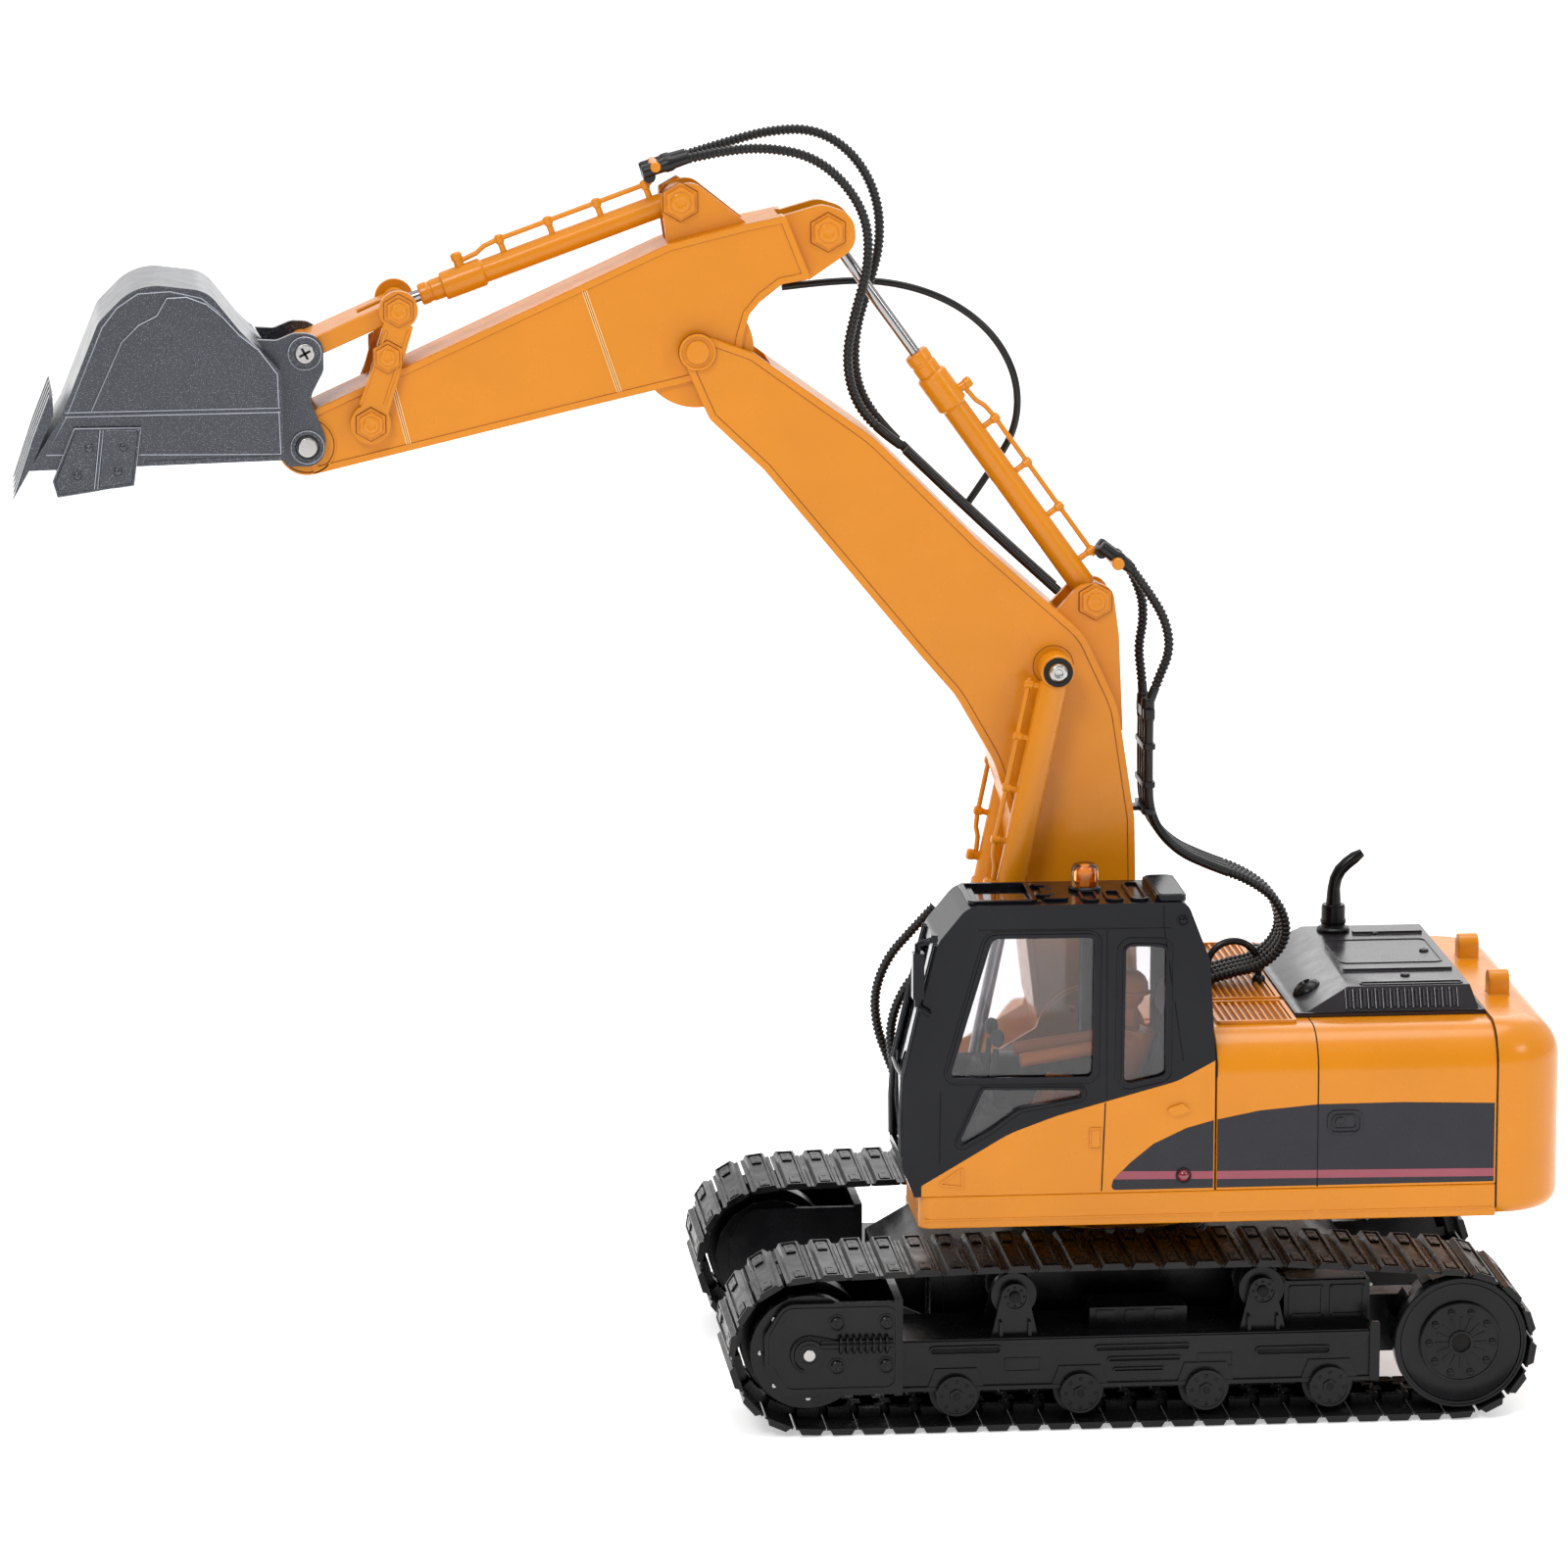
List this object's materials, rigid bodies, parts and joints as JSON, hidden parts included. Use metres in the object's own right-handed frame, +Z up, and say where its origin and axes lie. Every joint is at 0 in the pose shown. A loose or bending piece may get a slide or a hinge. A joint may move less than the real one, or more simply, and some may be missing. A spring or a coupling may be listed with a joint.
{
  "type": "toy excavator",
  "caption": "Radio-controlled toy crawler excavator with a slewing house, cab with a driver figure, lifting boom, swinging stick and curling bucket worked by dummy cylinders.",
  "frame": {"origin": "on the axis the house turns about, at the level the tracks stand on", "axes": "+Z up; the bucket points along -X; the cab is on the -Y side"},
  "size_m": [0.467, 0.159, 0.3884],
  "materials": {
    "orange_plastic": "satin",
    "black_plastic": "satin",
    "track_plastic": "satin",
    "cab_black": "gloss",
    "hood_grey": "satin",
    "bucket_metal": "satin",
    "clear_plastic": "gloss",
    "amber_plastic": "gloss",
    "figure_plastic": "matte",
    "seat_plastic": "matte",
    "steel": "polished",
    "chrome": "polished",
    "hose_rubber": "satin",
    "battery_wrap": "satin",
    "gear_case": "satin",
    "board_green": "satin"
  },
  "bodies": {
    "chassis": {"car_body": "black_plastic", "battery_cover": "black_plastic", "battery_cells": "battery_wrap", "drive_gearmotors": "gear_case", "left_track_frame": "black_plastic", "right_track_frame": "black_plastic", "left_track": "track_plastic", "right_track": "track_plastic", "axles_and_screws": "steel", "top_rollers": "black_plastic"},
    "power_switch": {"power_switch": "black_plastic"},
    "house": {"house_deck": "orange_plastic", "house_shell": "orange_plastic", "counterweight": "orange_plastic", "engine_hood": "hood_grey", "exhaust_stack": "cab_black", "cab_frame": "cab_black", "cab_lower_panel": "orange_plastic", "cab_glass": "clear_plastic", "driver_seat": "seat_plastic", "driver_figure": "figure_plastic", "roof_beacon": "amber_plastic", "boom_bracket": "orange_plastic", "control_board": "board_green", "house_gearmotors": "gear_case", "house_hose_bundle": "hose_rubber", "boom_cylinder_hoses": "hose_rubber"},
    "boom": {"boom_left_shell": "orange_plastic", "boom_right_shell": "orange_plastic", "boom_pins": "steel", "boom_pipes": "hose_rubber", "stick_gearmotor": "gear_case", "stick_hoses": "hose_rubber", "stick_cylinder_hoses": "hose_rubber"},
    "boom_cylinder_barrels": {"boom_cylinder_barrels": "orange_plastic"},
    "boom_cylinder_rods": {"boom_cylinder_rods": "chrome"},
    "stick_cylinder_barrel": {"stick_cylinder_barrel": "orange_plastic"},
    "stick_cylinder_rod": {"stick_cylinder_rod": "chrome"},
    "stick": {"stick_left_shell": "orange_plastic", "stick_right_shell": "orange_plastic", "stick_pins": "steel", "bucket_gearmotor": "gear_case"},
    "bucket_cylinder_barrel": {"bucket_cylinder_barrel": "orange_plastic"},
    "bucket_cylinder_rod": {"bucket_cylinder_rod": "chrome"},
    "rocker_link": {"rocker_link": "orange_plastic"},
    "bucket_link": {"bucket_link": "orange_plastic"},
    "bucket": {"bucket_bowl": "bucket_metal", "bucket_pins": "steel"},
    "left_drive_wheel": {"left_drive_wheel": "black_plastic"},
    "left_idler_wheel": {"left_idler_wheel": "black_plastic"},
    "left_bottom_roller_1": {"left_bottom_roller_1": "black_plastic"},
    "left_bottom_roller_2": {"left_bottom_roller_2": "black_plastic"},
    "left_bottom_roller_3": {"left_bottom_roller_3": "black_plastic"},
    "left_bottom_roller_4": {"left_bottom_roller_4": "black_plastic"},
    "right_drive_wheel": {"right_drive_wheel": "black_plastic"},
    "right_idler_wheel": {"right_idler_wheel": "black_plastic"},
    "right_bottom_roller_1": {"right_bottom_roller_1": "black_plastic"},
    "right_bottom_roller_2": {"right_bottom_roller_2": "black_plastic"},
    "right_bottom_roller_3": {"right_bottom_roller_3": "black_plastic"},
    "right_bottom_roller_4": {"right_bottom_roller_4": "black_plastic"}
  },
  "joints": [
    {"name": "house_slew", "type": "hinge", "parent": "chassis", "child": "house", "pos_m": [0, 0, 0], "axis": [0, 0, 1], "range_deg": [-340, 340]},
    {"name": "boom_lift", "type": "hinge", "parent": "house", "child": "boom", "pos_m": [-0.0085, 0, 0.107], "axis": [0, 1, 0], "range_deg": [-44, 5], "deforming": ["house_hose_bundle", "boom_cylinder_hoses"]},
    {"name": "stick_swing", "type": "hinge", "parent": "boom", "child": "stick", "pos_m": [-0.1295, 0, 0.3221], "axis": [0, 1, 0], "range_deg": [-70, 4], "deforming": ["stick_hoses"]},
    {"name": "bucket_curl", "type": "hinge", "parent": "stick", "child": "bucket", "pos_m": [-0.2474, 0, 0.2948], "axis": [0, 1, 0], "range_deg": [-90, 0]},
    {"name": "boom_cylinder_pivot", "type": "hinge", "parent": "boom", "child": "boom_cylinder_barrels", "pos_m": [-0.0206, 0, 0.224], "axis": [0, 1, 0], "range_deg": [-0.54, 4.01]},
    {"name": "boom_cylinder_stroke", "type": "slide", "parent": "boom_cylinder_barrels", "child": "boom_cylinder_rods", "axis": [-0.2024, 0, -0.9793], "range_m": [-0.03177, 0.00397]},
    {"name": "stick_cylinder_pivot", "type": "hinge", "parent": "boom", "child": "stick_cylinder_barrel", "pos_m": [-0.0068, 0, 0.2425], "axis": [0, 1, 0], "range_deg": [-11.99, 0.78], "deforming": ["stick_cylinder_hoses"]},
    {"name": "stick_cylinder_stroke", "type": "slide", "parent": "stick_cylinder_barrel", "child": "stick_cylinder_rod", "axis": [-0.5838, 0, 0.8119], "range_m": [-0.00331, 0.05125]},
    {"name": "bucket_cylinder_pivot", "type": "hinge", "parent": "stick", "child": "bucket_cylinder_barrel", "pos_m": [-0.134, 0, 0.3668], "axis": [0, 1, 0], "range_deg": [-0.869, 0]},
    {"name": "bucket_cylinder_stroke", "type": "slide", "parent": "bucket_cylinder_barrel", "child": "bucket_cylinder_rod", "axis": [-0.9402, 0, -0.3405], "range_m": [0, 0.04236]},
    {"name": "rocker_pivot", "type": "hinge", "parent": "stick", "child": "rocker_link", "pos_m": [-0.2282, 0, 0.3015], "axis": [0, 1, 0], "range_deg": [-72.94, 0]},
    {"name": "link_pivot", "type": "hinge", "parent": "rocker_link", "child": "bucket_link", "pos_m": [-0.2196, 0, 0.3358], "axis": [0, 1, 0], "range_deg": [0, 41.14]},
    {"name": "left_drive", "type": "hinge", "parent": "chassis", "child": "left_drive_wheel", "pos_m": [0.098, -0.0565, 0.0234], "axis": [0, 1, 0], "continuous": true},
    {"name": "left_idler_wheel_spin", "type": "hinge", "parent": "chassis", "child": "left_idler_wheel", "pos_m": [-0.1015, -0.0565, 0.025], "axis": [0, 1, 0], "continuous": true},
    {"name": "left_bottom_roller_1_spin", "type": "hinge", "parent": "chassis", "child": "left_bottom_roller_1", "pos_m": [-0.0564, -0.0565, 0.0103], "axis": [0, 1, 0], "continuous": true},
    {"name": "left_bottom_roller_2_spin", "type": "hinge", "parent": "chassis", "child": "left_bottom_roller_2", "pos_m": [-0.0185, -0.0565, 0.0103], "axis": [0, 1, 0], "continuous": true},
    {"name": "left_bottom_roller_3_spin", "type": "hinge", "parent": "chassis", "child": "left_bottom_roller_3", "pos_m": [0.02, -0.0565, 0.0103], "axis": [0, 1, 0], "continuous": true},
    {"name": "left_bottom_roller_4_spin", "type": "hinge", "parent": "chassis", "child": "left_bottom_roller_4", "pos_m": [0.058, -0.0565, 0.0103], "axis": [0, 1, 0], "continuous": true},
    {"name": "right_drive", "type": "hinge", "parent": "chassis", "child": "right_drive_wheel", "pos_m": [0.098, 0.0565, 0.0234], "axis": [0, 1, 0], "continuous": true},
    {"name": "right_idler_wheel_spin", "type": "hinge", "parent": "chassis", "child": "right_idler_wheel", "pos_m": [-0.1015, 0.0565, 0.025], "axis": [0, 1, 0], "continuous": true},
    {"name": "right_bottom_roller_1_spin", "type": "hinge", "parent": "chassis", "child": "right_bottom_roller_1", "pos_m": [-0.0564, 0.0565, 0.0103], "axis": [0, 1, 0], "continuous": true},
    {"name": "right_bottom_roller_2_spin", "type": "hinge", "parent": "chassis", "child": "right_bottom_roller_2", "pos_m": [-0.0185, 0.0565, 0.0103], "axis": [0, 1, 0], "continuous": true},
    {"name": "right_bottom_roller_3_spin", "type": "hinge", "parent": "chassis", "child": "right_bottom_roller_3", "pos_m": [0.02, 0.0565, 0.0103], "axis": [0, 1, 0], "continuous": true},
    {"name": "right_bottom_roller_4_spin", "type": "hinge", "parent": "chassis", "child": "right_bottom_roller_4", "pos_m": [0.058, 0.0565, 0.0103], "axis": [0, 1, 0], "continuous": true},
    {"name": "power_switch_slide", "type": "slide", "parent": "chassis", "child": "power_switch", "axis": [1, 0, 0], "range_m": [0, 0.003]}
  ],
  "couplings": [
    {"joint": "boom_cylinder_pivot", "follows": "boom_lift", "ratio": -0.088828},
    {"joint": "boom_cylinder_stroke", "follows": "boom_lift", "m_per_rad": 0.040853},
    {"joint": "stick_cylinder_pivot", "follows": "stick_swing", "ratio": 0.1699},
    {"joint": "stick_cylinder_stroke", "follows": "stick_swing", "m_per_rad": -0.041622},
    {"joint": "rocker_pivot", "follows": "bucket_curl", "ratio": 0.80933},
    {"joint": "link_pivot", "follows": "bucket_curl", "ratio": -0.45598},
    {"joint": "bucket_cylinder_pivot", "follows": "bucket_curl", "ratio": 0.0085448},
    {"joint": "bucket_cylinder_stroke", "follows": "bucket_curl", "m_per_rad": -0.026714},
    {"joint": "left_idler_wheel_spin", "follows": "left_drive", "ratio": 0.92593},
    {"joint": "left_bottom_roller_1_spin", "follows": "left_drive", "ratio": 2.5641},
    {"joint": "left_bottom_roller_2_spin", "follows": "left_drive", "ratio": 2.5641},
    {"joint": "left_bottom_roller_3_spin", "follows": "left_drive", "ratio": 2.5641},
    {"joint": "left_bottom_roller_4_spin", "follows": "left_drive", "ratio": 2.5641},
    {"joint": "right_idler_wheel_spin", "follows": "right_drive", "ratio": 0.92593},
    {"joint": "right_bottom_roller_1_spin", "follows": "right_drive", "ratio": 2.5641},
    {"joint": "right_bottom_roller_2_spin", "follows": "right_drive", "ratio": 2.5641},
    {"joint": "right_bottom_roller_3_spin", "follows": "right_drive", "ratio": 2.5641},
    {"joint": "right_bottom_roller_4_spin", "follows": "right_drive", "ratio": 2.5641}
  ]
}
